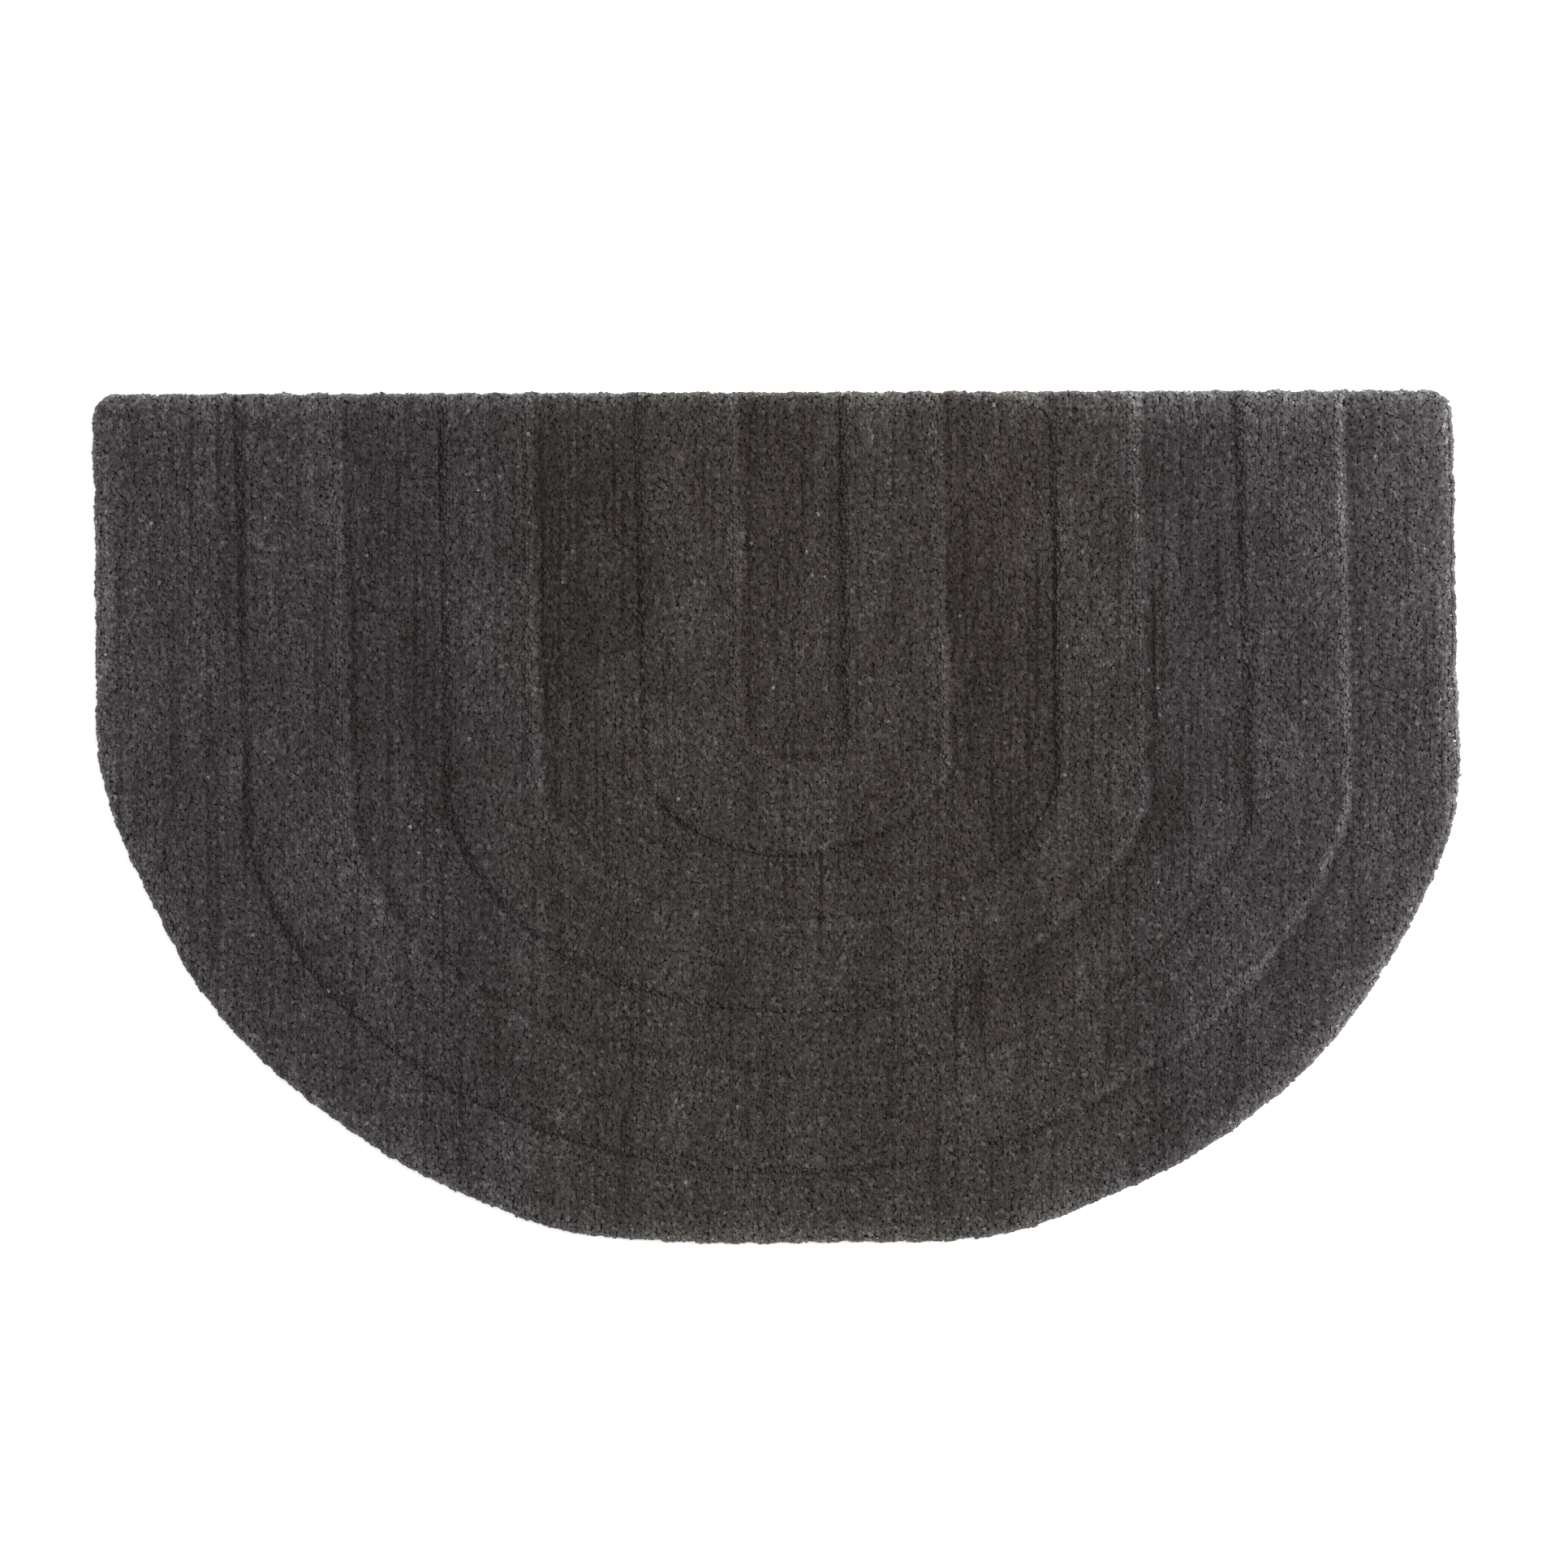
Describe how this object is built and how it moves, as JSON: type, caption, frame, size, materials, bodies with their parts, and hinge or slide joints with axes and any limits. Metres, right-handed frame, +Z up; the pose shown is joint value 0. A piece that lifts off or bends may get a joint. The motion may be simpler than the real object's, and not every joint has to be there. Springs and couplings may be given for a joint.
{
  "type": "half round rug",
  "caption": "Half round tufted pile rug with a straight long edge and raised U-shaped bands carved into the pile, lying flat.",
  "frame": {"origin": "middle of the rug's footprint on the floor", "axes": "+X along the straight edge, +Y from the round end towards the straight edge, +Z up out of the pile"},
  "size_m": [1.1198, 0.6992, 0.0143],
  "materials": {
    "charcoal_pile": "matt charcoal cut pile, slightly heathered, with fine streaks along the tuft columns"
  },
  "bodies": {
    "root": {"rug": "charcoal_pile"}
  },
  "joints": []
}
